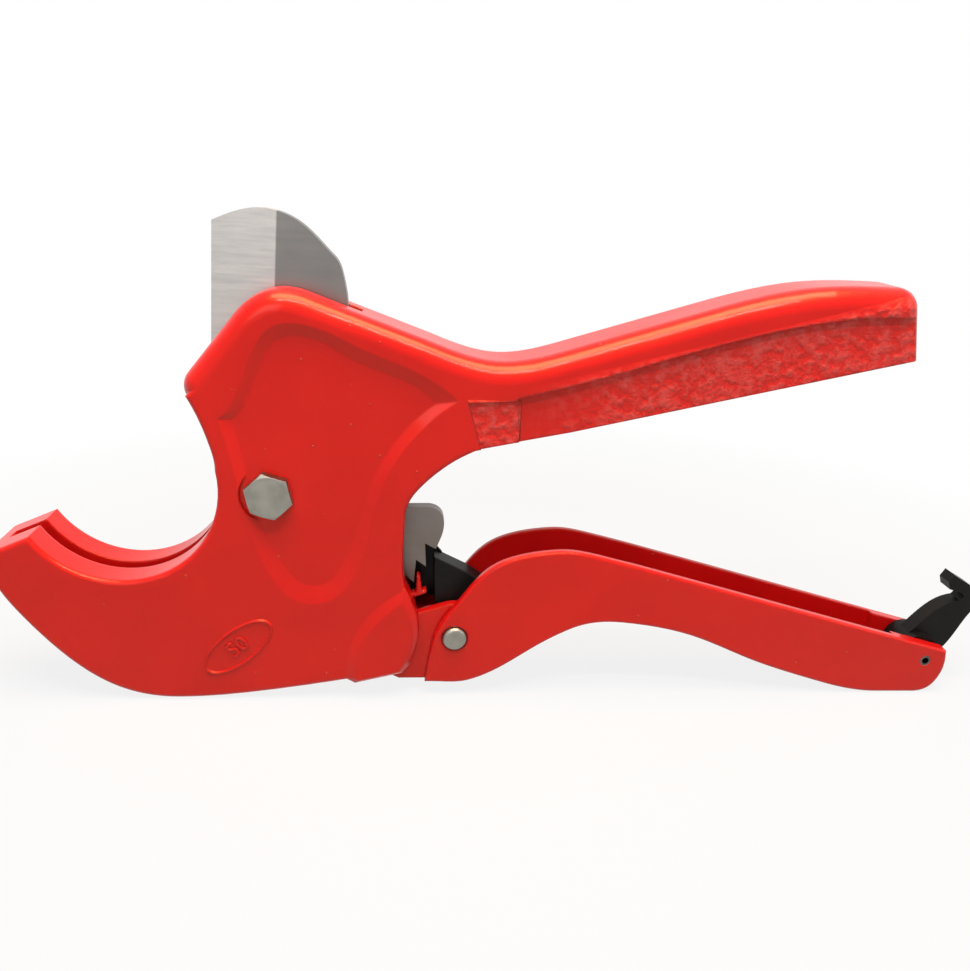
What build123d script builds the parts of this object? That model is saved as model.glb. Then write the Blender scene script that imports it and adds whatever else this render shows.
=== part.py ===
from build123d import *
from math import atan2, cos, degrees, hypot, radians, sin
import os

# Ratchet cutter for plastic pipe, in millimetres. X runs from the jaw to the handles, Y across the
# thickness away from the viewer, Z up. The origin is the centre of the pipe seat, in the blade's plane.
os.makedirs("parts", exist_ok=True)

# Pipe seat and casting
seat_radius = 25.8          # a 51 mm pipe lies in it
body_width = 21.5           # over the jaw, the head and the upper handle
rim_round = 5.0             # rounded rim round the head and along the handle's crown
edge_round = 1.2            # cast edges elsewhere
panel_depth = 1.3           # sunken panels of the head and of the upper handle
pad_rise = 1.2              # the raised pad at the tongue's root
patch_depth = 0.7           # rough patch on the neck
handle_room = 11.0          # inner width of the hollow upper handle
lip_room = 7.2              # width of the window for the latch in the handle's end
rib_thick = 2.0

# Blade and its pivot
pivot = (38.6, -1.6)
blade_thick = 3.4
blade_side_gap = 0.4
edge_half = 0.15            # half the thickness left at the cutting edge
edge_offset = 16.4          # from the pivot to the line of the cutting edge
edge_lean = 3.4             # degrees, the open edge from upright
bevel_width = 15.5
slot_reach = 70.5           # from the pivot to the end of the jaw's slot
tail_room = 47.9            # from the pivot to the end of the slot round the tail
tooth_pitch = 7.2           # degrees
tooth_steps = 15            # teeth that one full cut takes up
tooth_tip_radius = 46.8
tooth_root_radius = 43.4
first_tooth = -22.9         # degrees, the first driven face in the open pose
bush_radius = 5.0
bolt_radius = 3.15
bolt_across_flats = 11.0
bolt_head_height = 2.8
washer_radius = 7.2
washer_thick = 1.2
nut_height = 6.0
running_gap = 0.05
return_pocket_radius = 14.0
return_pocket_depth = 3.2
return_wire = 1.2
peg_radius = 1.25
peg_arm = 11.5              # from the pivot to both spring pegs
peg_angle = 60              # degrees, the peg in the open blade
anchor_angle = 240          # degrees, outside the peg's sweep
bolt_turn = 43              # degrees, how the hexagon stands

# Lower handle on its rivet
rivet = (87.2, -43.2)
rivet_radius = 2.5
rivet_head_radius = 3.4
rivet_head_height = 1.4
rivet_recess = 0.4          # round the rivet's heads
handle_width = 19.0
cheek_thick = 2.2
web_thick = 2.4
tongue_gap = 0.3            # between the tongue's walls and the cheeks
channel_width = 8.6         # inner width of the tongue and of the ratchet's channel
tongue_radius = 9.2
handle_wire = 1.5

# Ratchet
drive_pin = (99.5, -42.8)
drive_pin_radius = 1.6
drive_pawl_thick = 6.8
drive_boss = 4.6
drive_nose_angle = -25.05
holding_pin_radius = 1.5
holding_pawl_thick = 3.4
holding_boss = 2.8
holding_nose_angle = -45.4
holding_turn = 7.0          # degrees it lifts into the teeth
nose_gap = 0.4              # pawl noses clear of the teeth at rest

# Latch
latch_pin = (224.4, -50.6)
latch_pin_radius = 1.5
latch_arm_thick = 5.0
latch_hub_radius = 5.8
latch_hub_width = 10.4
latch_room = 11.0           # between the thickened walls at the handle's end

half_body = body_width / 2
panel_y = half_body - panel_depth
half_slot = blade_thick / 2 + blade_side_gap
half_channel = channel_width / 2
half_handle = handle_width / 2
cheek_inner = half_handle - cheek_thick
tongue_outer = cheek_inner - tongue_gap


def about(centre, radius, angle):
    """The point at this radius and angle in degrees round centre."""
    return (centre[0] + radius * cos(radians(angle)), centre[1] + radius * sin(radians(angle)))


holding_pin = about(pivot, tooth_tip_radius + 6.78, -65.87)
holding_nose = about(pivot, tooth_tip_radius + nose_gap, holding_nose_angle)


def turned(point, centre, angle):
    """point turned round centre by angle, in degrees."""
    dx, dz = point[0] - centre[0], point[1] - centre[1]
    return about(centre, hypot(dx, dz), degrees(atan2(dz, dx)) + angle)


def face_plane(y, centre=(0, 0)):
    """The XZ plane at depth y with its origin at centre; it extrudes towards the viewer."""
    return Plane(origin=(centre[0], y, centre[1]), x_dir=(1, 0, 0), z_dir=(0, -1, 0))


def nearest(vertices, point):
    return vertices.sort_by(lambda vertex: hypot(vertex.X - point[0], vertex.Y - point[1]))[0]


def at_depth(part, y):
    """The edges of part whose middles lie at depth y or -y."""
    return [edge for edge in part.edges() if abs(abs((edge @ 0.5).Y) - y) < 0.01]


# Head and upper handle: one rail with a round rim
head_corner = (seat_radius - 8.9, 25.6)
end_top = (201.3, 54.9)
end_bottom = (204.6, 37.3)
with BuildPart() as rail:
    with BuildSketch(Plane.XZ) as rail_profile:
        with BuildLine():
            left = Line(head_corner, (31.2, 43.4))
            over = Spline((31.2, 43.4), (43.2, 50.1), (52.4, 47.8), tangents=[(0.62, 0.78), (0.93, -0.37)])
            slope = Line((52.4, 47.8), (78, 38.6))
            dip = Spline((78, 38.6), (96.5, 33.6), (112, 36.4), tangents=[(0.93, -0.36), (0.955, 0.296)])
            rise = Line((112, 36.4), (152, 49.0))
            crown = Spline((152, 49.0), (174, 54.2), end_top, tangents=[(0.955, 0.29), (1, -0.03)])
            end_face = Line(end_top, end_bottom)
            under = Polyline(end_bottom, (115.2, 16.3), (60, 5), (60, 24), (38, 24), (24, 17), head_corner)
        make_face()
        fillet(nearest(rail_profile.vertices(), end_top), 5.6)
        fillet(nearest(rail_profile.vertices(), head_corner), 5.4)
    extrude(amount=half_body, both=True)
    rim = [
        edge
        for edge in at_depth(rail, half_body)
        if ((edge @ 0.5).X > 62 or (edge @ 0.5).Z > 24.5) and (edge @ 0.5).Z > (edge @ 0.5).X * 0.235 - 9
    ]
    fillet(rim, rim_round)

# Jaw and body
nose = (-(seat_radius + 8.8), -19.2)
throat_top = (seat_radius - 6.4, 23.8)
jaw_floor = -(seat_radius + 35.1)
with BuildPart() as jaw:
    with BuildSketch(Plane.XZ) as jaw_profile:
        with BuildLine():
            lip = Line(nose, about((0, 0), seat_radius, 212))
            seat = CenterArc((0, 0), seat_radius, 212, 158)
            seat_end = about((0, 0), seat_radius, 10)
            throat = Spline(
                seat_end, (seat_radius - 1.5, 11.5), throat_top, tangents=[(0.05, 1), (-0.5, 0.9)]
            )
            inside = Polyline(throat_top, (26, 30), (78, 30), (100, 14))
            neck = Spline(
                (100, 14), (84.6, 7.4), (77, 0.7), (73.2, -7), tangents=[(-0.97, -0.24), (-0.15, -1)]
            )
            rear = Spline(
                (73.2, -7), (73.4, -27), (76.7, -43.5), (73.2, -53.2), tangents=[(0, -1), (-0.75, -0.65)]
            )
            heel = Line((73.2, -53.2), (57.3, -55.6))
            keel = Spline(
                (57.3, -55.6), (32.8, jaw_floor + 1.5), (12.5, jaw_floor), tangents=[(-1, -0.18), (-1, 0)]
            )
            cheek = about((0, 0), seat_radius + 28.5, -101.1)
            chin_turn = about((0, 0), seat_radius + 19.0, -125.5)
            chin = Spline((12.5, jaw_floor), cheek, chin_turn, nose, tangents=[(-1, 0), (-0.28, 1)])
        make_face()
        fillet(nearest(jaw_profile.vertices(), nose), 1.5)
    extrude(amount=half_body, both=True)
    fillet(at_depth(jaw, half_body), edge_round)

with BuildPart() as cast_frame:
    add(jaw.part)
    add(rail.part)
    # Raised pad at the tongue's root, the same on both sides, with sloped edges
    pad_foot = [
        (73.4, -27.5), (62.9, -35.9), (57.2, -51.0),
        (57.6, -55.0), (60.0, -56.4), (72.9, -53.3), (77.0, -43.0),
    ]
    pad_face = [
        (72.8, -31.4), (65.5, -38.2), (60.0, -50.8),
        (60.2, -54.0), (61.2, -55.0), (71.9, -52.4), (75.7, -43.0),
    ]
    for side in (1, -1):
        for height, points in ((0, pad_foot), (pad_rise, pad_face)):
            with BuildSketch(face_plane(-side * (half_body - 0.2 + height))):
                with BuildLine():
                    Spline(*points[:4])
                    Polyline(*points[3:6])
                    Spline(points[5], points[6], points[0])
                make_face()
        loft()
    with BuildSketch(Plane.XZ):
        with BuildLine():
            Spline(*pad_foot[:4])
            Polyline(*pad_foot[3:6])
            Spline(pad_foot[5], pad_foot[6], pad_foot[0])
        make_face()
    extrude(amount=half_body - 0.2, both=True)
    # Tongue that carries the lower handle's rivet, with a heel that the handle's web stops against
    with BuildSketch(Plane.XZ):
        with BuildLine():
            Line((66, -40), (85.1, -34.25))
            ThreePointArc((85.1, -34.25), about(rivet, tongue_radius, 0), about(rivet, tongue_radius, -90))
            Polyline(
                about(rivet, tongue_radius, -90), (84.3, -52.4), (84.3, -57), (72, -57), (62, -52), (66, -40)
            )
        make_face()
    extrude(amount=tongue_outer, both=True)
    # Sunken panels on both sides of the head, with broad sloped walls
    panel_rim = [
        (26.9, 18.5), (36.1, 35.4), (41.2, 41.6), (47.1, 42.3),
        (61.9, 36.8), (78.8, 29.6), (86.2, 24.2), (76.4, 15.8),
        (67.2, 1.0), (59.9, -24.1), (53.5, -31.1), (46.1, -31.8), (39.5, -26.1), (33.0, -9.0), (29.3, 9.6),
    ]
    panel_floor = [
        (30.1, 18.2), (37.8, 32.5), (42.4, 38.4), (47.1, 39.3),
        (60.7, 33.3), (75.6, 27.2), (80.6, 23.1), (73.6, 16.8),
        (64.4, 1.6), (56.4, -22.2), (52.3, -26.7), (47.2, -27.0), (42.2, -22.3), (35.8, -7.7), (32.0, 9.8),
    ]
    for side in (1, -1):
        for depth, points in ((0, panel_rim), (panel_depth, panel_floor)):
            with BuildSketch(face_plane(-side * (half_body - depth))):
                with BuildLine():
                    Spline(*points[:7])
                    Spline(*points[6:], points[0])
                make_face()
        loft(mode=Mode.SUBTRACT)
    # Rough patch on the neck and the sunken sides of the upper handle
    for side in (1, -1):
        with BuildSketch(face_plane(-side * half_body)):
            Polygon((88.7, 23.8), (101.2, 24.6), (102.2, 12.5), (92.9, 9.5), align=None)
        extrude(amount=-side * patch_depth, mode=Mode.SUBTRACT)
        with BuildSketch(face_plane(-side * half_body)):
            with BuildLine():
                Spline((101, 25.2), (136.9, 35.6), (169.3, 44.8), (209, 47.6))
                Polyline((209, 47.6), (212, 28), (115, 5), (102.5, 8), (101, 25.2))
            make_face()
        extrude(amount=-side * panel_depth, mode=Mode.SUBTRACT)
    # Slot for the blade, open at the head, the throat and the rear
    with BuildSketch(Plane.XZ):
        with Locations(pivot):
            Circle(tail_room)
        with BuildLine():
            Line((62, -20), (62, 64.9))
            ThreePointArc((62, 64.9), about(pivot, slot_reach, 150), about(pivot, slot_reach, 206.4))
            ThreePointArc(
                about(pivot, slot_reach, 206.4), about((0, 0), seat_radius + 19.3, -96.6), (21.7, -47.4)
            )
            Line((21.7, -47.4), (62, -20))
        make_face()
    extrude(amount=half_slot, both=True, mode=Mode.SUBTRACT)
    # Channel for the ratchet, from the holding pawl's pocket through the tongue
    with BuildSketch(Plane.XZ):
        with BuildLine():
            pocket = holding_pin[0] - holding_boss - 1.2
            Polyline((pocket, holding_pin[1] + 4.5), (pocket, holding_pin[1] - holding_boss), (84.2, -54))
            Polyline((84.2, -54), (84.2, -60), (100, -60), (100, -18), (69, -18), (64, -40))
            Line((64, -40), (pocket, holding_pin[1] + 4.5))
        make_face()
    extrude(amount=half_channel, both=True, mode=Mode.SUBTRACT)
    # Hollow under the upper handle, with cross ribs
    with BuildSketch(Plane.XZ):
        with BuildLine():
            Polyline((106, 10), (106, 25.5), (112, 28.2), (152, 40.8))
            Spline((152, 40.8), (172, 45.6), (192, 47), tangents=[(0.955, 0.29), (1, 0.05)])
            Polyline((192, 47), (201.8, 47), (201.8, 30), (106, 10))
        make_face()
        with Locations((130, 30), (154, 36), (178, 42)):
            Rectangle(rib_thick, 40, mode=Mode.SUBTRACT)
    extrude(amount=handle_room / 2, both=True, mode=Mode.SUBTRACT)
    # Window in the end for the latch's hook, above a lip
    with BuildSketch(Plane.XZ):
        with Locations((203, 42.35)):
            Rectangle(8, 8.3)
    extrude(amount=lip_room / 2, both=True, mode=Mode.SUBTRACT)
    # Seats of the bolt's head and of the washer, then the bores and the return spring's pocket
    for side in (1, -1):
        with BuildSketch(face_plane(side * panel_y, pivot)):
            Circle(washer_radius + 0.3)
        extrude(amount=-side * 4, mode=Mode.SUBTRACT)
    with Locations(face_plane(0, pivot)):
        Cylinder(bush_radius, 60, mode=Mode.SUBTRACT)
    with BuildSketch(face_plane(0, pivot)):
        Circle(return_pocket_radius)
    extrude(amount=-(half_slot + return_pocket_depth), mode=Mode.SUBTRACT)
    with Locations(face_plane(0, rivet)):
        Cylinder(rivet_radius, 60, mode=Mode.SUBTRACT)
    with Locations(face_plane(2.35, holding_pin)):
        Cylinder(holding_pin_radius, 17.7, mode=Mode.SUBTRACT)
    anchor = about(pivot, peg_arm, anchor_angle)
    with Locations(face_plane(5.0, anchor)):
        Cylinder(peg_radius, 5.0, mode=Mode.SUBTRACT)

cast_frame.part.label = "cast_frame"
export_step(cast_frame.part, "parts/cast_frame.step")

# Pivot bolt of the blade, with its bush, washer and lock nut
bolt_end = panel_y + washer_thick + nut_height + 1.2
with BuildPart() as pivot_bolt:
    with BuildSketch(face_plane(-panel_y, pivot)):
        RegularPolygon(bolt_across_flats / 2, 6, major_radius=False, rotation=bolt_turn)
    extrude(amount=bolt_head_height)
    # A wide cone takes the head's outer corners off
    head_top = bolt_across_flats * 0.49
    head_foot = head_top + bolt_head_height * 1.7
    with Locations(face_plane(-panel_y - bolt_head_height / 2, pivot)):
        Cone(head_foot, head_top, bolt_head_height, mode=Mode.INTERSECT)
    with BuildSketch(face_plane(-panel_y, pivot)):
        Circle(bolt_radius)
    extrude(amount=-(panel_y + bolt_end))
    chamfer(pivot_bolt.faces().sort_by(Axis.Y)[-1].edges(), 0.5)
pivot_bolt.part.label = "pivot_bolt"
export_step(pivot_bolt.part, "parts/pivot_bolt.step")

with BuildPart() as pivot_bush:
    with BuildSketch(face_plane(panel_y, pivot)):
        Circle(bush_radius)
        Circle(bolt_radius + running_gap, mode=Mode.SUBTRACT)
    extrude(amount=2 * panel_y)
pivot_bush.part.label = "pivot_bush"
export_step(pivot_bush.part, "parts/pivot_bush.step")

with BuildPart() as pivot_washer:
    with BuildSketch(face_plane(panel_y, pivot)):
        Circle(washer_radius)
        Circle(bolt_radius + running_gap, mode=Mode.SUBTRACT)
    extrude(amount=-washer_thick)
pivot_washer.part.label = "pivot_washer"
export_step(pivot_washer.part, "parts/pivot_washer.step")

nut_face = panel_y + washer_thick
with BuildPart() as pivot_nut:
    with BuildSketch(face_plane(nut_face, pivot)):
        RegularPolygon(bolt_across_flats / 2, 6, major_radius=False, rotation=12)
    extrude(amount=-nut_height * 0.7)
    with BuildSketch(face_plane(nut_face, pivot)):
        Circle(bolt_across_flats / 2 - 0.3)
    extrude(amount=-nut_height)
    fillet(pivot_nut.faces().sort_by(Axis.Y)[-1].edges(), 0.8)
    with Locations(face_plane(nut_face, pivot)):
        Cylinder(bolt_radius + running_gap, 30, mode=Mode.SUBTRACT)
pivot_nut.part.label = "pivot_nut"
export_step(pivot_nut.part, "parts/pivot_nut.step")

# Blade with its toothed tail
edge_up = (sin(radians(edge_lean)), cos(radians(edge_lean)))
edge_foot = (
    pivot[0] - edge_offset * edge_up[1] + 20 * edge_up[0],
    pivot[1] + edge_offset * edge_up[0] + 20 * edge_up[1],
)
edge_tip = (edge_foot[0] + 45.6 * edge_up[0], edge_foot[1] + 45.6 * edge_up[1])
tooth_faces = [first_tooth - tooth_pitch * k for k in range(tooth_steps + 1)]
tail_points = [about(pivot, tooth_tip_radius, -19.4)]
for angle in tooth_faces:
    tail_points.append(about(pivot, tooth_tip_radius, angle))
    tail_points.append(about(pivot, tooth_root_radius, angle + 0.5))
tail_end = about(pivot, tooth_root_radius + 0.4, tooth_faces[-1] - 5.5)
with BuildPart() as blade:
    with BuildSketch(Plane.XZ) as blade_profile:
        with BuildLine():
            Line(edge_foot, edge_tip)
            Spline(
                edge_tip, (36.8, 68.1), (47.3, 65.1), (54.3, 58.4), (58.3, 48),
                tangents=[(1, 0.45), (0.15, -1)],
            )
            Polyline((58.3, 48), (61, 20), (68, -7), (73.7, -7.7), (79.6, -7.6))
            Spline((79.6, -7.6), about(pivot, 46.7, -15), tail_points[0], tangents=[(1, -0.1), (-0.4, -1)])
            Polyline(*tail_points, tail_end)
            ThreePointArc(tail_end, about((0, 0), seat_radius + 1.9, -46), about(pivot, 12.0, 205))
            ThreePointArc(about(pivot, 12.0, 205), about(pivot, 12.0, 180), about(pivot, 12.0, 160))
            Line(about(pivot, 12.0, 160), edge_foot)
        make_face()
    extrude(amount=blade_thick / 2, both=True)
    edge_plane = Plane(
        origin=(edge_foot[0], 0, edge_foot[1]),
        x_dir=(edge_up[1], 0, -edge_up[0]),
        z_dir=(edge_up[0], 0, edge_up[1]),
    )
    with BuildSketch(edge_plane):
        for side in (1, -1):
            with BuildLine():
                Polyline(
                    (0, side * edge_half), (bevel_width, side * blade_thick / 2), (bevel_width, side * 4)
                )
                Polyline(
                    (bevel_width, side * 4), (-2, side * 4), (-2, side * edge_half), (0, side * edge_half)
                )
            make_face()
    extrude(amount=60, mode=Mode.SUBTRACT)
    with Locations(face_plane(0, pivot)):
        Cylinder(bush_radius + running_gap, 20, mode=Mode.SUBTRACT)
    peg_at = about(pivot, peg_arm, peg_angle)
    with Locations(face_plane(0, peg_at)):
        Cylinder(peg_radius, 20, mode=Mode.SUBTRACT)
blade.part.label = "blade"
export_step(blade.part, "parts/blade.step")

with BuildPart() as blade_spring_peg:
    with BuildSketch(face_plane(-blade_thick / 2, peg_at)):
        Circle(peg_radius)
    extrude(amount=-(blade_thick + return_pocket_depth))
blade_spring_peg.part.label = "blade_spring_peg"
export_step(blade_spring_peg.part, "parts/blade_spring_peg.step")

with BuildPart() as spring_anchor_pin:
    with BuildSketch(face_plane(7.5, anchor)):
        Circle(peg_radius)
    extrude(amount=5.1)
spring_anchor_pin.part.label = "spring_anchor_pin"
export_step(spring_anchor_pin.part, "parts/spring_anchor_pin.step")


def torsion_spring(centre, depths, radius, wire, turns, start, legs, lefthand=False):
    """A coil round centre between two depths of its wire's centre, with a straight leg at each end.

    start is the angle where the coil begins. It turns clockwise as the viewer sees it, or the other way
    with lefthand."""
    base = Plane(
        origin=(centre[0], depths[0], centre[1]),
        x_dir=(cos(radians(start)), 0, sin(radians(start))),
        z_dir=(0, 1, 0),
    )
    height = depths[1] - depths[0]
    coil = base * Helix(height / turns, height, radius, lefthand=lefthand)
    with BuildPart() as spring:
        with BuildLine() as path:
            Line(coil @ 0 - (coil % 0) * legs[0], coil @ 0)
            add(coil)
            Line(coil @ 1, coil @ 1 + (coil % 1) * legs[1])
        with BuildSketch(Plane(origin=path.wire() @ 0, z_dir=path.wire() % 0)):
            Circle(wire / 2)
        sweep(path=path.wire())
    return spring.part


return_depths = (half_slot + 0.8, half_slot + return_pocket_depth - 1.0)
return_spring_part = torsion_spring(
    pivot, return_depths, 7.2, return_wire, 1.29, peg_angle - 37.7, (8.5, 8.5)
)
return_spring_part.label = "blade_return_spring"
export_step(return_spring_part, "parts/blade_return_spring.step")

# Rivet of the lower handle, with its bush and spring
with BuildPart() as handle_rivet:
    with BuildSketch(face_plane(half_handle, rivet)):
        Circle(rivet_radius)
    extrude(amount=handle_width)
    for side in (1, -1):
        with BuildSketch(face_plane(-side * (half_handle + 0.05 - rivet_recess), rivet)):
            Circle(rivet_head_radius)
        extrude(amount=side * rivet_head_height)
    fillet(handle_rivet.faces().sort_by(Axis.Y)[0].edges(), 1.2)
    fillet(handle_rivet.faces().sort_by(Axis.Y)[-1].edges(), 1.2)
handle_rivet.part.label = "handle_rivet"
export_step(handle_rivet.part, "parts/handle_rivet.step")

with BuildPart() as handle_bush:
    with BuildSketch(face_plane(half_channel, rivet)):
        Circle(3.6)
        Circle(rivet_radius + running_gap, mode=Mode.SUBTRACT)
    extrude(amount=channel_width)
handle_bush.part.label = "handle_bush"
export_step(handle_bush.part, "parts/handle_bush.step")

handle_spring_part = torsion_spring(rivet, (-2.6, 2.6), 4.9, handle_wire, 2.906, -60, (10.3, 13.7), True)
handle_spring_part.label = "handle_spring"
export_step(handle_spring_part, "parts/handle_spring.step")

# Lower handle: two cheeks joined by a web along the bottom
under_points = [(210, -60.9), (191, -56.8), (172.2, -50.3), (153.6, -42.5), (136.1, -38.8), (119.3, -40.6)]
under_front = [(119.3, -40.6), (108, -47.2), (98.9, -53.3), (90.6, -56.8), (79.2, -57.0)]
over_front = [(79.2, -57.0), (82.3, -41), (87.2, -33.4), (97.5, -21.6), (112.1, -17.4), (137.2, -21.6)]
floor_front = [(90.6, -54.4), (99.5, -50.8), (109, -44.9), (119.5, -38.3), (136.1, -36.4)]
floor_rear = [(136.1, -36.4), (154.2, -40.1), (173, -48), (191.4, -54.4), (210, -58.5)]
with BuildPart() as lower_handle:
    with BuildSketch(Plane.XZ) as handle_profile:
        with BuildLine():
            Spline(*over_front, tangents=[(0.2, 1), (0.97, -0.25)])
            Line((137.2, -21.6), (230.4, -47.5))
            Spline((230.4, -47.5), (229.6, -56.5), (223, -61.0), tangents=[(0.2, -1), (-1, -0.05)])
            Line((223, -61.0), under_points[0])
            Spline(*under_points, tangents=[(-1, 0.05), (-0.9, -0.42)])
            Spline(*under_front, tangents=[(-0.9, -0.42), (-1, 0)])
        make_face()
    extrude(amount=half_handle, both=True)
    fillet(at_depth(lower_handle, half_handle), 0.8)
    # Channel between the cheeks, wide for the tongue and narrower for the latch
    with BuildSketch(Plane.XZ) as channel:
        with BuildLine():
            Polyline((210, -58.5), (223, -58.6), (240, -58.6), (240, 0), (70, 0), (70, -70))
            Polyline((70, -70), (84.6, -70), (84.6, -54.6), (90.6, -54.4))
            Spline(*floor_front, tangents=[(1, 0.2), (1, 0)])
            Spline(*floor_rear, tangents=[(1, 0), (1, -0.08)])
        make_face()
    extrude(amount=latch_room / 2, both=True, mode=Mode.SUBTRACT)
    with BuildSketch(Plane.XZ):
        add(channel.sketch)
        with Locations((230, -50)):
            Rectangle(32, 40, mode=Mode.SUBTRACT)
    extrude(amount=cheek_inner, both=True, mode=Mode.SUBTRACT)
    with Locations(face_plane(0, rivet)):
        Cylinder(rivet_radius + running_gap, 40, mode=Mode.SUBTRACT)
    for side in (1, -1):
        with Locations(face_plane(side * half_handle, rivet)):
            Cylinder(rivet_head_radius + 0.3, rivet_recess * 2, mode=Mode.SUBTRACT)
    with Locations(face_plane(0, latch_pin)):
        Cylinder(latch_pin_radius, 40, mode=Mode.SUBTRACT)
    with Locations(face_plane(0.5, drive_pin)):
        Cylinder(drive_pin_radius, 17.6, mode=Mode.SUBTRACT)
lower_handle.part.label = "lower_handle"
export_step(lower_handle.part, "parts/lower_handle.step")

# Drive pawl, its pin and spring
drive_nose = about(pivot, tooth_tip_radius + nose_gap, drive_nose_angle)
with BuildPart() as drive_pawl:
    with BuildSketch(Plane.XZ):
        with BuildLine():
            Polyline(drive_nose, (90.6, -26.2), (97.5, -31), (102.4, -39.2))
            ThreePointArc(
                (102.4, -39.2), about(drive_pin, drive_boss, -20), about(drive_pin, drive_boss, -90)
            )
            ThreePointArc(
                about(drive_pin, drive_boss, -90), about(drive_pin, drive_boss, -150), (95.1, -41.5)
            )
            Polyline((95.1, -41.5), (91.5, -36.6), (81.6, -36.3), (81.2, -25), drive_nose)
        make_face()
    extrude(amount=drive_pawl_thick / 2, both=True)
    fillet([edge for edge in at_depth(drive_pawl, drive_pawl_thick / 2) if (edge @ 0.5).Z > -37], 0.5)
    with Locations(face_plane(0, drive_pin)):
        Cylinder(drive_pin_radius + running_gap, 20, mode=Mode.SUBTRACT)
drive_pawl.part.label = "drive_pawl"
export_step(drive_pawl.part, "parts/drive_pawl.step")

with BuildPart() as drive_pawl_pin:
    with BuildSketch(face_plane(9.3, drive_pin)):
        Circle(drive_pin_radius)
    extrude(amount=17.6)
drive_pawl_pin.part.label = "drive_pawl_pin"
export_step(drive_pawl_pin.part, "parts/drive_pawl_pin.step")

drive_spring_part = torsion_spring(drive_pin, (4.3, 6.2), 2.45, 0.8, 1.7375, -30, (4, 6))
drive_spring_part.label = "drive_pawl_spring"
export_step(drive_spring_part, "parts/drive_pawl_spring.step")

# Holding pawl, its pin and spring
# Where the nose's lower flank ends: clear of the next tooth's tip when the pawl is in the teeth
holding_flank = turned(about(pivot, tooth_tip_radius + 1.1, -53), holding_pin, -holding_turn)
with BuildPart() as holding_pawl:
    with BuildSketch(Plane.XZ):
        with BuildLine():
            back = about(holding_pin, holding_boss, -20)
            front = about(holding_pin, holding_boss, 150)
            Polyline(holding_nose, (holding_nose[0] + 2.4, holding_nose[1] - 3.3), back)
            ThreePointArc(back, about(holding_pin, holding_boss, -110), front)
            Polyline(front, holding_flank, holding_nose)
        make_face()
    extrude(amount=holding_pawl_thick / 2, both=True)
    with Locations(face_plane(0, holding_pin)):
        Cylinder(holding_pin_radius + running_gap, 20, mode=Mode.SUBTRACT)
holding_pawl.part.label = "holding_pawl"
export_step(holding_pawl.part, "parts/holding_pawl.step")

with BuildPart() as holding_pawl_pin:
    with BuildSketch(face_plane(11.2, holding_pin)):
        Circle(holding_pin_radius)
    extrude(amount=17.7)
holding_pawl_pin.part.label = "holding_pawl_pin"
export_step(holding_pawl_pin.part, "parts/holding_pawl_pin.step")

holding_spring_part = torsion_spring(holding_pin, (2.5, 3.4), 2.15, 0.6, 1.314, -36.9, (8, 3.2))
holding_spring_part.label = "holding_pawl_spring"
export_step(holding_spring_part, "parts/holding_pawl_spring.step")

# Latch on its roll pin
with BuildPart() as latch:
    with BuildSketch(face_plane(0, latch_pin)):
        Circle(latch_hub_radius)
    extrude(amount=latch_hub_width / 2, both=True)
    with BuildSketch(Plane.XZ):
        with BuildLine():
            Spline((219.3, -48.0), (223.3, -43.8), (228.6, -38.0), (235.5, -34.7))
            Polyline(
                (235.5, -34.7), (236.6, -33.4), (235.6, -32.3), (231.6, -31.0), (230.9, -28.8), (232.2, -26.5)
            )
            Spline(
                (232.2, -26.5), (237.5, -29.6), (241.5, -33.5), (239.4, -38.6), (233.8, -49.5), (228.5, -54.5)
            )
            Line((228.5, -54.5), (219.3, -48.0))
        make_face()
    extrude(amount=latch_arm_thick / 2, both=True)
    with Locations(face_plane(0, latch_pin)):
        Cylinder(latch_pin_radius + running_gap, 30, mode=Mode.SUBTRACT)
latch.part.label = "latch"
export_step(latch.part, "parts/latch.step")

with BuildPart() as latch_pin_part:
    with BuildSketch(face_plane(half_handle, latch_pin)):
        Circle(latch_pin_radius)
        Circle(latch_pin_radius - 0.5, mode=Mode.SUBTRACT)
    extrude(amount=handle_width)
latch_pin_part.part.label = "latch_pin"
export_step(latch_pin_part.part, "parts/latch_pin.step")
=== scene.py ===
import math
import bmesh
import bpy
import numpy as np
from mathutils import Matrix, Vector


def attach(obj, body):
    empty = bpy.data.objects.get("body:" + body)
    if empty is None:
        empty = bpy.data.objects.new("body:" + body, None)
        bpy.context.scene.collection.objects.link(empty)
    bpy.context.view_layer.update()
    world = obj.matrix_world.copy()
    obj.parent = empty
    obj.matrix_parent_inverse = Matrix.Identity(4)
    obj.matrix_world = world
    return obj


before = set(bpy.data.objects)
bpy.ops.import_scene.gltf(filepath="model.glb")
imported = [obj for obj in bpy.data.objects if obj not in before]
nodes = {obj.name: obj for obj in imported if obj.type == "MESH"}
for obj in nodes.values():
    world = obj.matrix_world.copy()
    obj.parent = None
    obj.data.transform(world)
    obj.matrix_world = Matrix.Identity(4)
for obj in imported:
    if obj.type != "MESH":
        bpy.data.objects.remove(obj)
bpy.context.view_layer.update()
print("frame loaded:", len(nodes), "nodes")


# Node helpers

# A socket is linked, and any other value is set
def feed(tree, socket, value):
    if isinstance(value, bpy.types.NodeSocket):
        tree.links.new(value, socket)
    else:
        socket.default_value = value


def addNode(tree, kind, values=None, **settings):
    node = tree.nodes.new(kind)
    for name, value in settings.items():
        setattr(node, name, value)
    for name, value in (values or {}).items():
        feed(tree, node.inputs[name], value)
    return node


def useGroup(tree, group, values):
    node = tree.nodes.new("ShaderNodeGroup")
    node.node_tree = group
    for name, value in values.items():
        feed(tree, node.inputs[name], value)
    return node.outputs


def mixColors(tree, factor, first, second):
    return addNode(tree, "ShaderNodeMix", {0: factor, 6: first, 7: second}, data_type="RGBA").outputs[2]


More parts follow.
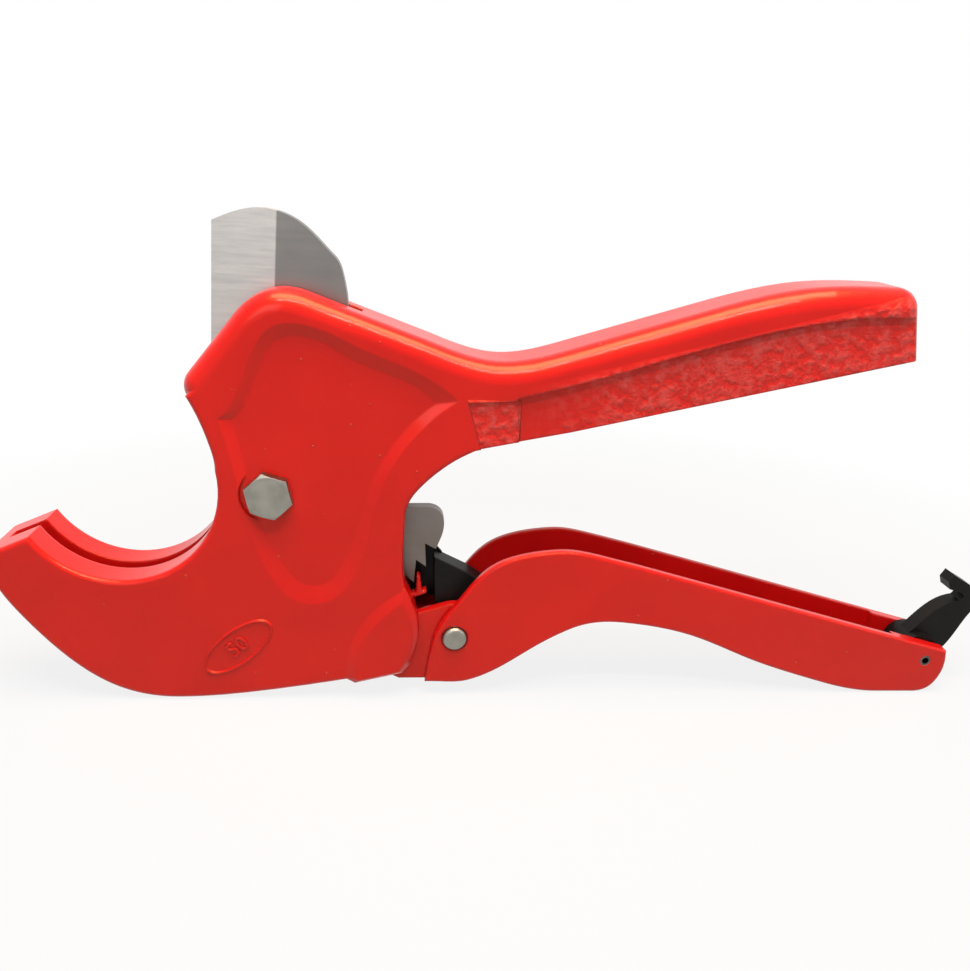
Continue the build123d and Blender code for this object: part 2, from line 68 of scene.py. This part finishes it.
def calc(tree, operation, first, second=0.0):
    return addNode(tree, "ShaderNodeMath", {0: first, 1: second}, operation=operation).outputs[0]


def product(tree, first, *others):
    for other in others:
        first = calc(tree, "MULTIPLY", first, other)
    return first


# A straight line from one range to another, which stops at both ends
def spread(tree, value, fromRange, toRange=(0.0, 1.0)):
    limits = {"From Min": fromRange[0], "From Max": fromRange[1], "To Min": toRange[0], "To Max": toRange[1]}
    return addNode(tree, "ShaderNodeMapRange", {"Value": value, **limits}).outputs[0]


def bump(tree, height, strength, depth, normal=None):
    values = {"Height": height, "Strength": strength, "Distance": depth}
    if normal:
        values["Normal"] = normal
    return addNode(tree, "ShaderNodeBump", values).outputs[0]


def newGroup(name, inputs, outputs):
    group = bpy.data.node_groups.new(name, "ShaderNodeTree")
    for label, kind, value in inputs:
        socket = group.interface.new_socket(label, in_out="INPUT", socket_type=kind)
        if value is not None:
            socket.default_value = value
    for label, kind in outputs:
        group.interface.new_socket(label, in_out="OUTPUT", socket_type=kind)
    return group, group.nodes.new("NodeGroupInput").outputs, group.nodes.new("NodeGroupOutput").inputs


def newMaterial(name):
    material = bpy.data.materials.new(name)
    material.use_nodes = True
    tree = material.node_tree
    tree.nodes.clear()
    place = addNode(tree, "ShaderNodeTexCoord").outputs["Object"]
    return material, tree, place


def finishMaterial(tree, values):
    shader = addNode(tree, "ShaderNodeBsdfPrincipled", values)
    addNode(tree, "ShaderNodeOutputMaterial", {0: shader.outputs[0]})


# Shared effects

noiseRange = (0.3, 0.7)   # nearly all of a noise lies between these

# Surface grain: fine noise for the height, broad noise for a slow change of tone
grainGroup, grainIn, grainOut = newGroup(
    "surfaceGrain",
    [("Vector", "NodeSocketVector", None), ("Fine Scale", "NodeSocketFloat", 600.0),
     ("Broad Scale", "NodeSocketFloat", 30.0)],
    [("Height", "NodeSocketFloat"), ("Tone", "NodeSocketFloat")])
fine = addNode(grainGroup, "ShaderNodeTexNoise",
               {"Vector": grainIn["Vector"], "Scale": grainIn["Fine Scale"], "Detail": 2.0, "Roughness": 0.5})
broad = addNode(grainGroup, "ShaderNodeTexNoise",
                {"Vector": grainIn["Vector"], "Scale": grainIn["Broad Scale"], "Detail": 3.0})
feed(grainGroup, grainOut["Height"], fine.outputs[0])
feed(grainGroup, grainOut["Tone"], broad.outputs[0])

# Grinding streaks: noise of the place times the stretch, so the smallest factor gives the streaks' direction
streakGroup, streakIn, streakOut = newGroup(
    "grindStreaks",
    [("Vector", "NodeSocketVector", None), ("Stretch", "NodeSocketVector", (20.0, 900.0, 900.0))],
    [("Streak", "NodeSocketFloat")])
stretched = addNode(streakGroup, "ShaderNodeVectorMath", {0: streakIn["Vector"], 1: streakIn["Stretch"]},
                    operation="MULTIPLY").outputs[0]
streaks = addNode(streakGroup, "ShaderNodeTexNoise",
                  {"Vector": stretched, "Scale": 1.0, "Detail": 4.0, "Roughness": 0.65})
feed(streakGroup, streakOut["Streak"], streaks.outputs[0])


# Red paint

paintLook = {
    "colour": (0.56, 0.006, 0.006, 1),
    "deep": (0.50, 0.004, 0.005, 1),
    "roughness": (0.31, 0.43),
    "specular": 0.35,
    "specularTint": (1.0, 0.42, 0.12, 1),
    "coat": {"Coat Weight": 0.4, "Coat Roughness": 0.06, "Coat IOR": 1.4},
    "edgeRound": 0.0009,               # the paint rounds every cast edge
    "peelScale": 330.0,
    "peelDepth": 0.00010,
    "peelStrength": 0.5,
    "toneScale": 35.0,
    "toneRange": (0.35, 0.7),
}

# The rough cast surfaces: the sides of the upper handle and the patch on the neck. A pale colour mixed into
# them is painted sheen, standing for their pinkish reflection
castLook = {
    "paintedSheenColour": (0.56, 0.065, 0.060, 1),  # pale painted sheen: the rough surfaces' reflection, mottled by the lumps
    # share of the painted sheen, at the two ends of the lumps' range
    "paintedSheen": (0.10, 0.75),
    "paintedSheenRange": (0.42, 0.66),        # of the lumps' noise
    "moreRoughness": 0.12,
    "scale": 480.0,
    "depth": 0.00100,
    "sideDepth": (0.0085, 0.0089),     # from the middle plane: only the outer faces are rough
    "handleLength": (0.1015, 0.1300),
    "handleHeight": (-0.012, -0.008),  # which leaves out the lower handle
    "crownRise": 0.27,                 # the crown's lower border is the length times this, plus its start
    "crownStart": -0.0015,
    "crownSoft": (-0.0015, 0.0005),
    "patchFront": 0.0886,              # at the patch's top
    "patchBack": 0.1020,
    "patchHeight": (0.0090, 0.0243),
    "patchLean": 0.294,                # of the front edge, length for height
    "soft": 0.0003,
}

# Grains of dust caught in the paint, in a few cells of a cell pattern
dustLook = {
    "colour": (0.70, 0.120, 0.080, 1),
    "scale": 420.0,
    "radii": (0.06, 0.16),
    "chosen": (0.955, 0.965),          # cells whose random value lies above
    "tint": 0.6,
    "relief": 0.35,
}


# 1 on the rough surfaces, which get more roughness, lumps and the painted sheen: the larger of two products
# of masks, for the handle's sides and the neck's patch
def roughMask(tree, place, look):
    length, depth, height = addNode(tree, "ShaderNodeSeparateXYZ", {0: place}).outputs
    side = spread(tree, calc(tree, "ABSOLUTE", depth), look["sideDepth"])
    crown = calc(tree, "ADD", calc(tree, "MULTIPLY", length, look["crownRise"]), look["crownStart"])
    handle = product(tree, side, spread(tree, length, look["handleLength"]),
                     spread(tree, height, look["handleHeight"]),
                     spread(tree, calc(tree, "SUBTRACT", crown, height), look["crownSoft"]))
    soft, back = look["soft"], look["patchBack"]
    bottom, top = look["patchHeight"]
    underTop = calc(tree, "SUBTRACT", height, top)
    leaning = calc(tree, "ADD", length, calc(tree, "MULTIPLY", underTop, look["patchLean"]))
    patch = product(tree, side, spread(tree, leaning, (look["patchFront"] - soft, look["patchFront"])),
                    spread(tree, length, (back, back + soft), (1.0, 0.0)),
                    spread(tree, height, (bottom - soft, bottom + soft)),
                    spread(tree, height, (top - soft, top + soft), (1.0, 0.0)))
    return calc(tree, "MAXIMUM", handle, patch)


def dustMask(tree, place, look):
    cells = addNode(tree, "ShaderNodeTexVoronoi",
                    {"Vector": place, "Scale": look["scale"], "Randomness": 1.0})
    near = spread(tree, cells.outputs["Distance"], look["radii"], (1.0, 0.0))
    value = addNode(tree, "ShaderNodeSeparateColor", {0: cells.outputs["Color"]}).outputs[0]
    return product(tree, near, spread(tree, value, look["chosen"]))


def redPaint(look, cast, dust):
    material, tree, place = newMaterial("redPaint")
    peel = useGroup(tree, grainGroup,
                    {"Vector": place, "Fine Scale": look["peelScale"], "Broad Scale": look["toneScale"]})
    lumps = useGroup(tree, grainGroup, {"Vector": place, "Fine Scale": cast["scale"]})["Height"]
    rough = roughMask(tree, place, cast)
    grains = dustMask(tree, place, dust)
    colour = mixColors(tree, spread(tree, peel["Tone"], look["toneRange"]), look["deep"], look["colour"])
    # Painted sheen: the rough surfaces turn towards a pale colour where the lumps' noise is high
    paintedSheen = product(tree, rough, spread(tree, lumps, cast["paintedSheenRange"], cast["paintedSheen"]))
    colour = mixColors(tree, paintedSheen, colour, cast["paintedSheenColour"])
    colour = mixColors(tree, product(tree, grains, dust["tint"]), colour, dust["colour"])
    roughness = spread(tree, peel["Tone"], noiseRange, look["roughness"])
    roughness = calc(tree, "ADD", roughness, product(tree, rough, cast["moreRoughness"]))
    edges = addNode(tree, "ShaderNodeBevel", {"Radius": look["edgeRound"]}, samples=4).outputs[0]
    relief = calc(tree, "ADD", product(tree, lumps, rough), product(tree, grains, dust["relief"]))
    peeled = bump(tree, peel["Height"], look["peelStrength"], look["peelDepth"], edges)
    normal = bump(tree, relief, 1.0, cast["depth"], peeled)
    finishMaterial(tree, {"Base Color": colour, "Roughness": roughness, "Normal": normal,
                          "Specular IOR Level": look["specular"], "Specular Tint": look["specularTint"],
                          "Coat Normal": edges, **look["coat"]})
    return material


# Blade steel: rolled flat, a ground bevel along the edge, and a browner tail

bladeLook = {
    "pivot": (0.0386, -0.0016),        # x and z
    "edgeLean": 3.4,                   # degrees from upright
    "edgeOffset": 0.0164,              # from the pivot to the edge
    "bevelWidth": 0.0155,
    "bevelSoft": 0.0002,
    "bevelFrom": (0.0170, 0.0185),     # heights between which the bevel begins
    "tailFrom": (0.002, -0.008),       # heights between which the tail's colour sets in
    "flat": (0.18, 0.176, 0.169, 1),
    "rolled": (0.27, 0.265, 0.255, 1),
    "tail": (0.155, 0.125, 0.108, 1),
    "bevel": (0.48, 0.47, 0.455, 1),
    "bevelDark": (0.41, 0.40, 0.39, 1),
    "metallic": 0.9,
    "roughness": (0.30, 0.42),
    "bevelRoughness": 0.04,            # more on the bevel
    "streaks": (25.0, 900.0, 1100.0),
    "rolledScales": (900.0, 60.0),     # fine and broad
    "rolledShare": 0.35,               # at most, of the rolled colour
    "rolledRelief": 0.4,
    "reliefStrength": 0.35,
    "reliefDepth": 0.00006,
}


def bladeSteel(look):
    material, tree, place = newMaterial("bladeSteel")
    # The distance from the cutting edge: the dot product with the edge's normal, less its value there
    lean = math.radians(look["edgeLean"])
    across = (math.cos(lean), 0.0, -math.sin(lean))
    atEdge = look["pivot"][0] * across[0] + look["pivot"][1] * across[2] - look["edgeOffset"]
    dot = addNode(tree, "ShaderNodeVectorMath", {0: place, 1: across}, operation="DOT_PRODUCT")
    fromEdge = calc(tree, "SUBTRACT", dot.outputs["Value"], atEdge)
    height = addNode(tree, "ShaderNodeSeparateXYZ", {0: place}).outputs[2]
    width, soft = look["bevelWidth"], look["bevelSoft"]
    bevel = product(tree, spread(tree, fromEdge, (width - soft, width + soft), (1.0, 0.0)),
                    spread(tree, height, look["bevelFrom"]))
    streak = useGroup(tree, streakGroup, {"Vector": place, "Stretch": look["streaks"]})["Streak"]
    fineScale, broadScale = look["rolledScales"]
    rolled = useGroup(tree, grainGroup, {"Vector": place, "Fine Scale": fineScale, "Broad Scale": broadScale})
    flat = mixColors(tree, spread(tree, height, look["tailFrom"]), look["flat"], look["tail"])
    share = spread(tree, rolled["Tone"], noiseRange, (0.0, look["rolledShare"]))
    flat = mixColors(tree, share, flat, look["rolled"])
    ground = mixColors(tree, spread(tree, streak, noiseRange), look["bevelDark"], look["bevel"])
    roughness = spread(tree, streak, noiseRange, look["roughness"])
    roughness = calc(tree, "ADD", roughness, product(tree, bevel, look["bevelRoughness"]))
    rolledHeight = product(tree, rolled["Height"], look["rolledRelief"])
    relief = calc(tree, "ADD", product(tree, streak, bevel), rolledHeight)
    finishMaterial(tree, {"Base Color": mixColors(tree, bevel, flat, ground), "Metallic": look["metallic"],
                          "Roughness": roughness,
                          "Normal": bump(tree, relief, look["reliefStrength"], look["reliefDepth"])})
    return material


# Plain finishes: one grain group each, between two colours and two values of roughness

plainLook = {
    "zincPlate": {"colours": ((0.25, 0.24, 0.205, 1), (0.31, 0.30, 0.265, 1)), "roughness": (0.28, 0.44)},
    "darkSteel": {"colours": ((0.06, 0.058, 0.056, 1), (0.13, 0.125, 0.12, 1)), "roughness": (0.30, 0.46)},
    "springWire": {"colours": ((0.22, 0.22, 0.225, 1), (0.38, 0.38, 0.38, 1)), "roughness": (0.24, 0.40)},
    "bushBrass": {"colours": ((0.50, 0.36, 0.13, 1), (0.62, 0.47, 0.2, 1)), "roughness": (0.26, 0.42)},
    "blackPlastic": {"colours": ((0.004, 0.004, 0.0042, 1), (0.007, 0.0068, 0.0066, 1)),
                     "roughness": (0.32, 0.46), "metallic": 0.0, "specular": 0.12,
                     "fineScale": 2200.0, "broadScale": 120.0, "toneRange": noiseRange,
                     "bumpStrength": 0.35, "bumpDepth": 0.00005},
}
plainDefaults = {"metallic": 1.0, "specular": 0.5, "fineScale": 1500.0, "broadScale": 250.0,
                 "toneRange": (0.35, 0.65), "bumpStrength": 0.3, "bumpDepth": 0.00004}


def plainFinish(name):
    look = {**plainDefaults, **plainLook[name]}
    material, tree, place = newMaterial(name)
    grain = useGroup(tree, grainGroup,
                     {"Vector": place, "Fine Scale": look["fineScale"], "Broad Scale": look["broadScale"]})
    colour = mixColors(tree, spread(tree, grain["Tone"], look["toneRange"]), *look["colours"])
    finishMaterial(tree, {"Base Color": colour, "Metallic": look["metallic"],
                          "Roughness": spread(tree, grain["Tone"], noiseRange, look["roughness"]),
                          "Normal": bump(tree, grain["Height"], look["bumpStrength"], look["bumpDepth"]),
                          "Specular IOR Level": look["specular"]})
    return material


finishes = {name: plainFinish(name) for name in plainLook}
finishes["redPaint"] = redPaint(paintLook, castLook, dustLook)
finishes["bladeSteel"] = bladeSteel(bladeLook)

finishOf = {
    "redPaint": ["cast_frame", "lower_handle"],
    "bladeSteel": ["blade"],
    "zincPlate": ["pivot_bolt", "pivot_washer", "pivot_nut", "handle_rivet"],
    "bushBrass": ["pivot_bush", "handle_bush"],
    "darkSteel": ["blade_spring_peg", "spring_anchor_pin", "drive_pawl_pin", "holding_pawl_pin", "latch_pin",
                  "holding_pawl"],
    "blackPlastic": ["drive_pawl", "latch"],
    "springWire": ["blade_return_spring", "handle_spring", "drive_pawl_spring", "holding_pawl_spring"],
}
for finish, names in finishOf.items():
    for name in names:
        nodes[name].data.materials.clear()
        nodes[name].data.materials.append(finishes[finish])
print("finishes set:", sum(map(len, finishOf.values())), "nodes")


# Raised oval mark with a plain number, on the jaw's near side

markLook = {
    "centre": (0.0289, -0.0450),       # x and z on the jaw's face
    "face": -0.01075,                  # the face's depth
    "halfAxes": (0.0110, 0.0046),
    "turn": 40.0,                      # degrees, the long axis from X
    "rimHalf": 0.00050,
    "rimHeight": 0.00055,
    "rimSink": 0.00004,                # below the face, so that no gap shows
    "text": "50",
    "textSize": 0.0062,
    "textHeight": 0.00060,
    "textRound": 0.00010,
}


def showPiece(name, mesh, body):
    piece = bpy.data.objects.new(name, mesh)
    bpy.context.scene.collection.objects.link(piece)
    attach(piece, body)
    return piece


def newPiece(name, points, faces, material, body):
    mesh = bpy.data.meshes.new(name)
    mesh.from_pydata(points.tolist(), [], faces)
    mesh.polygons.foreach_set("use_smooth", [True] * len(mesh.polygons))
    mesh.materials.append(material)
    mesh.update()
    return showPiece(name, mesh, body)


# Quads between the rows and columns of a grid whose last row meets its first
def gridFaces(rows, columns):
    row, column = np.meshgrid(np.arange(rows), np.arange(columns - 1), indexing="ij")
    after = (row + 1) % rows
    quads = [row * columns + column, after * columns + column,
             after * columns + column + 1, row * columns + column + 1]
    return np.stack(quads, axis=-1).reshape(-1, 4).tolist()


# A low round ridge carried along an ellipse: its height across is half a wave
def ovalRim(look):
    steps, across = 96, 9
    t = np.linspace(0, 2 * np.pi, steps, endpoint=False)[:, None]
    w = np.linspace(-1, 1, across)[None, :]
    x = (look["halfAxes"][0] + w * look["rimHalf"]) * np.cos(t)
    z = (look["halfAxes"][1] + w * look["rimHalf"]) * np.sin(t)
    turn = math.radians(look["turn"])
    px = look["centre"][0] + x * math.cos(turn) - z * math.sin(turn)
    pz = look["centre"][1] + x * math.sin(turn) + z * math.cos(turn)
    foot = look["face"] + look["rimSink"]
    py = foot - (look["rimHeight"] + look["rimSink"]) * np.cos(w * np.pi / 2) + 0 * t
    points = np.stack([px, py, pz], axis=-1).reshape(-1, 3)
    newPiece("markRim", points, gridFaces(steps, across), finishes["redPaint"], "frame")


# The number is a text made a mesh, then stood up on the jaw's face
def markNumber(look):
    curve = bpy.data.curves.new("markNumber", "FONT")
    curve.body = look["text"]
    curve.size = look["textSize"]
    curve.align_x = "CENTER"
    curve.align_y = "CENTER"
    curve.extrude = look["textHeight"] / 2
    curve.bevel_depth = look["textRound"]
    curve.bevel_resolution = 1
    curve.resolution_u = 6
    draft = bpy.data.objects.new("markDraft", curve)
    mesh = bpy.data.meshes.new_from_object(draft)
    bpy.data.objects.remove(draft)
    onFace = Matrix.Translation((look["centre"][0], look["face"], look["centre"][1]))
    turned = Matrix.Rotation(-math.radians(look["turn"]), 4, "Y")
    mesh.transform(onFace @ turned @ Matrix.Rotation(math.pi / 2, 4, "X"))
    mesh.name = "markNumber"
    mesh.materials.clear()
    mesh.materials.append(finishes["redPaint"])
    showPiece("markNumber", mesh, "frame")


ovalRim(markLook)
markNumber(markLook)
print("mark made")


# A fin of casting at the near wall of the ratchet's channel, and a black plate on the drive pawl behind the
# blade's tail, which paints the shade seen through the notch between the teeth

channelLook = {
    "fin": [(0.0738, -0.0336), (0.0793, -0.0316), (0.0793, -0.0306), (0.0781, -0.0309),
            (0.0774, -0.0263), (0.0766, -0.0262), (0.0764, -0.0314), (0.0738, -0.0322)],
    "finDepths": (-0.0052, -0.0021),
    "cheek": [(0.0752, -0.0240), (0.0795, -0.0192), (0.0812, -0.0196), (0.0835, -0.0222),
              (0.0860, -0.0320), (0.0850, -0.0358), (0.0750, -0.0358)],
    "cheekDepths": (0.0021, 0.0033),
    "edge": 0.00035,
}


# A plate between two depths: its outline of x and z, carried to both depths and closed, with rounded edges
def plate(name, outline, depths, edge, material, body):
    count = len(outline)
    x, z = np.array(outline).T
    points = np.vstack([np.column_stack([x, np.full(count, depth), z]) for depth in depths])
    k = np.arange(count)
    after = (k + 1) % count
    walls = np.stack([k, after, after + count, k + count], axis=-1).tolist()
    faces = walls + [k[::-1].tolist(), (k + count).tolist()]
    piece = newPiece(name, points, faces, material, body)
    shell = bmesh.new()
    shell.from_mesh(piece.data)
    bmesh.ops.recalc_face_normals(shell, faces=shell.faces)
    shell.to_mesh(piece.data)
    shell.free()
    rounding = piece.modifiers.new("edges", "BEVEL")
    rounding.width = edge
    rounding.segments = 3
    rounding.limit_method = "ANGLE"
    rounding.harden_normals = True


plate("channelFin", channelLook["fin"], channelLook["finDepths"], channelLook["edge"],
      finishes["redPaint"], "frame")
# Painted shade: a black plate behind the teeth, so that the notch between them shows dark
plate("paintedShadePlate", channelLook["cheek"], channelLook["cheekDepths"], channelLook["edge"],
      finishes["blackPlastic"], "drive_pawl")
print("channel pieces made")


# Floor, light and camera

stageLook = {
    "floorHeight": -0.0611,
    "floorSize": 30.0,
    "floorCentre": (0.1, 0.0),
    "floorTone": (0.40, 0.48, 0.58, 1),   # cooler than the top lamp, so that the floor looks white
    "whiteFrom": (0.15, 0.30),            # distances between which the floor becomes the white background
    "whiteShare": (0.85, 1.0),
    "worldFill": 0.14,
}


# 1 for the rays that see the background: from the camera, a mirror-like surface or a clear one
def seenDirectly(tree):
    path = addNode(tree, "ShaderNodeLightPath").outputs
    either = calc(tree, "MAXIMUM", path["Is Glossy Ray"], path["Is Transmission Ray"])
    return calc(tree, "MAXIMUM", path["Is Camera Ray"], either)


def floorMaterial(look):
    material, tree, place = newMaterial("paleFloor")
    away = addNode(tree, "ShaderNodeVectorMath", {0: place}, operation="LENGTH").outputs["Value"]
    share = spread(tree, away, look["whiteFrom"], look["whiteShare"])
    tone = addNode(tree, "ShaderNodeBsdfDiffuse", {"Color": look["floorTone"]})
    white = addNode(tree, "ShaderNodeEmission", {"Color": (1, 1, 1, 1), "Strength": 1.0})
    mix = addNode(tree, "ShaderNodeMixShader",
                  {0: product(tree, seenDirectly(tree), share), 1: tone.outputs[0], 2: white.outputs[0]})
    addNode(tree, "ShaderNodeOutputMaterial", {0: mix.outputs[0]})
    return material


half = stageLook["floorSize"] / 2
floorMesh = bpy.data.meshes.new("floor")
corners = [(-half, -half, 0), (half, -half, 0), (half, half, 0), (-half, half, 0)]
floorMesh.from_pydata(corners, [], [(0, 1, 2, 3)])
floorMesh.materials.append(floorMaterial(stageLook))
floor = bpy.data.objects.new("floor", floorMesh)
floor.location = (*stageLook["floorCentre"], stageLook["floorHeight"])
bpy.context.scene.collection.objects.link(floor)

world = bpy.data.worlds.new("studio")
bpy.context.scene.world = world
world.use_nodes = True
worldTree = world.node_tree
worldTree.nodes.clear()
strength = spread(worldTree, seenDirectly(worldTree), (0.0, 1.0), (stageLook["worldFill"], 1.0))
background = addNode(worldTree, "ShaderNodeBackground", {"Color": (1, 1, 1, 1), "Strength": strength})
addNode(worldTree, "ShaderNodeOutputWorld", {0: background.outputs[0]})

lamps = {
    "top": {"place": (0.10, -0.06, 0.45), "target": (0.10, 0, 0.03), "size": (0.45, 0.20),
            "watts": 5.0, "colour": (1.0, 0.62, 0.34)},
    "strip": {"place": (0.10, -0.20, 0.36), "target": (0.10, 0, 0.03), "size": (0.32, 0.018),
              "watts": 1.1, "colour": (1, 0.97, 0.94)},
    "front": {"place": (-0.20, -0.60, 0.30), "target": (0.06, 0, 0.0), "size": (0.30, 0.30),
              "watts": 0.8, "colour": (1, 1, 1)},
    "side": {"place": (0.55, -0.25, 0.22), "target": (0.12, 0, 0.0), "size": (0.20, 0.20),
             "watts": 0.3, "colour": (1, 1, 1)},
}
for name, lamp in lamps.items():
    data = bpy.data.lights.new(name, "AREA")
    data.shape = "RECTANGLE"
    data.size, data.size_y = lamp["size"]
    data.energy = lamp["watts"]
    data.color = lamp["colour"]
    light = bpy.data.objects.new(name, data)
    light.location = lamp["place"]
    aim = Vector(lamp["target"]) - Vector(lamp["place"])
    light.rotation_euler = aim.to_track_quat("-Z", "Y").to_euler()
    bpy.context.scene.collection.objects.link(light)

viewPoint = {
    "place": (0.0742, -0.2286, 0.0794),
    "right": (0.9964, -0.0745, 0.0409),
    "up": (-0.0136, 0.3356, 0.9419),
    "forward": (0.0839, 0.9391, -0.3333),
    "focalPixels": 900.0,
    "imagePixels": 971.0,
    "sensorWidth": 36.0,
    "nearest": 0.01,
}
cameraData = bpy.data.cameras.new("camera")
cameraData.sensor_width = viewPoint["sensorWidth"]
cameraData.lens = viewPoint["sensorWidth"] * viewPoint["focalPixels"] / viewPoint["imagePixels"]
cameraData.clip_start = viewPoint["nearest"]
camera = bpy.data.objects.new("camera", cameraData)
turn = Matrix((viewPoint["right"], viewPoint["up"], -Vector(viewPoint["forward"]))).transposed()
camera.matrix_world = Matrix.Translation(viewPoint["place"]) @ turn.to_4x4()
bpy.context.scene.collection.objects.link(camera)
bpy.context.scene.camera = camera
bpy.context.scene.view_settings.view_transform = "Standard"
print("stage set")
